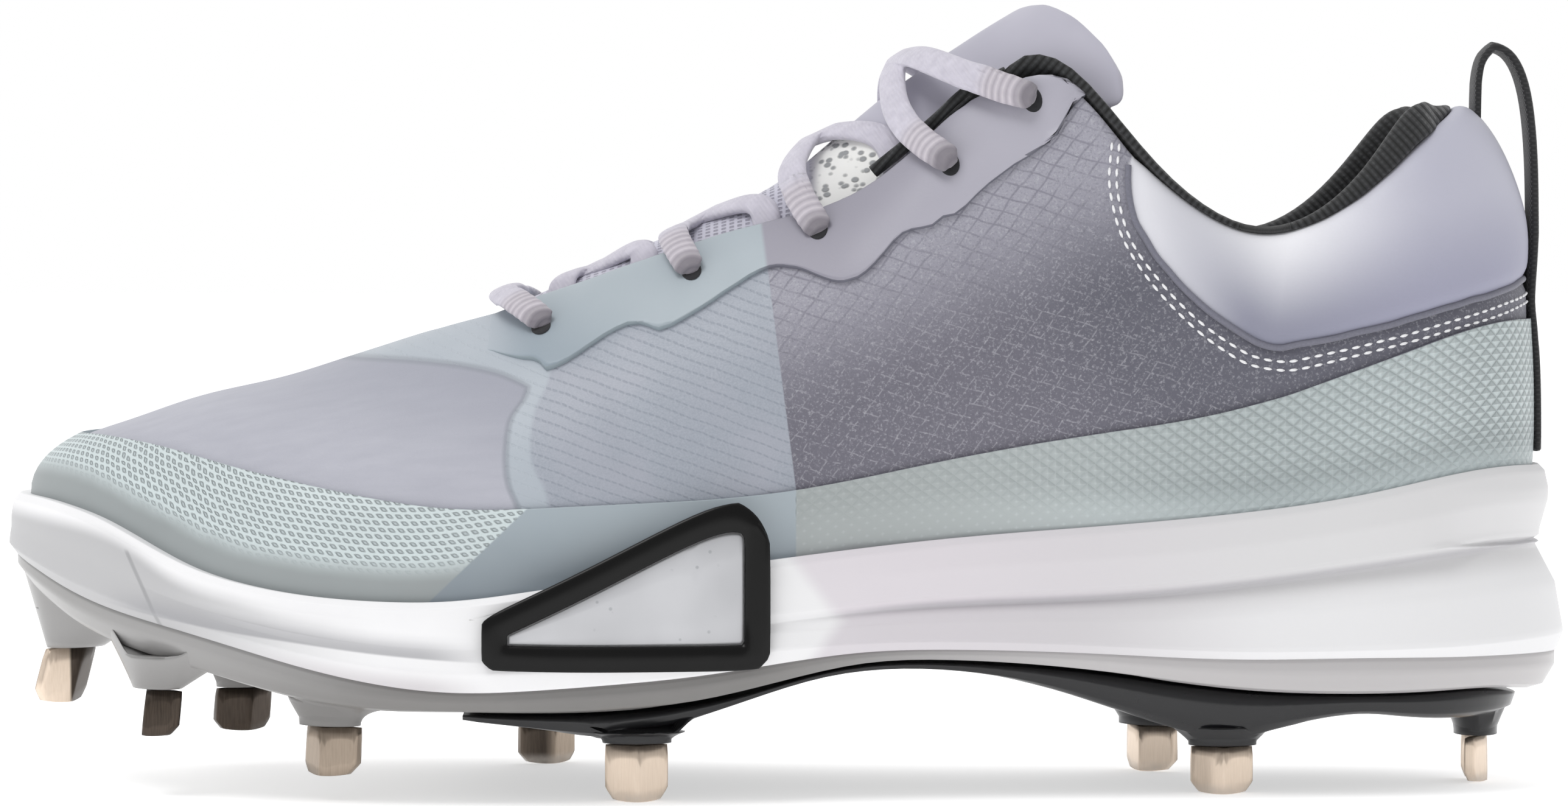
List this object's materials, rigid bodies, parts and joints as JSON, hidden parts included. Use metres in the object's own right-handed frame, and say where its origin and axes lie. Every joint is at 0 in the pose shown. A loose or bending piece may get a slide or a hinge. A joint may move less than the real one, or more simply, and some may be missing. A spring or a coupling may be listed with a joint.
{
  "type": "baseball cleat",
  "caption": "Left low-cut baseball cleat with a padded collar, laced throat, textured rand, stepped foam midsole, side window, and a studded plate with folded steel blades.",
  "frame": {"origin": "on the floor under the middle of the shoe's bounding box", "axes": "toe towards -X, heel towards +X, outer side towards -Y, inner side towards +Y, up +Z"},
  "size_m": [0.295, 0.1069, 0.1465],
  "materials": {
    "upper_fabric": "lilac-grey coated ripstop fabric, matt",
    "rand_film": "pale teal-grey moulded film with a raised lattice",
    "eyestay_film": "smooth lilac-grey film, soft satin",
    "black_knit": "black ribbed knit and cloth",
    "white_foam": "white moulded foam, satin",
    "pale_plastic": "pale slightly translucent plate, semi-gloss",
    "black_plastic": "black moulded plastic, glossy",
    "window_plastic": "silver-grey flecked plastic, satin",
    "stud_steel": "warm nickel-toned steel, satin",
    "lace_cord": "lilac flat-woven lace",
    "loop_webbing": "black woven webbing"
  },
  "bodies": {
    "root": {"collar_lining": "black_knit", "eyestay": "eyestay_film", "insole": "black_knit", "lace_bar": "lace_cord", "lace_cross_1": "lace_cord", "lace_cross_2": "lace_cord", "lace_cross_3": "lace_cord", "lace_cross_4": "lace_cord", "midsole": "white_foam", "pull_loop": "loop_webbing", "rand": "rand_film", "sole_frame": "pale_plastic", "stud_1": "stud_steel", "stud_2": "stud_steel", "stud_3": "stud_steel", "stud_4": "stud_steel", "stud_5": "stud_steel", "stud_6": "stud_steel", "stud_7": "stud_steel", "stud_8": "stud_steel", "stud_9": "stud_steel", "tongue": "upper_fabric", "traction_plate": "black_plastic", "upper": "upper_fabric", "window_frame": "black_plastic", "window_pane": "window_plastic"}
  },
  "joints": []
}
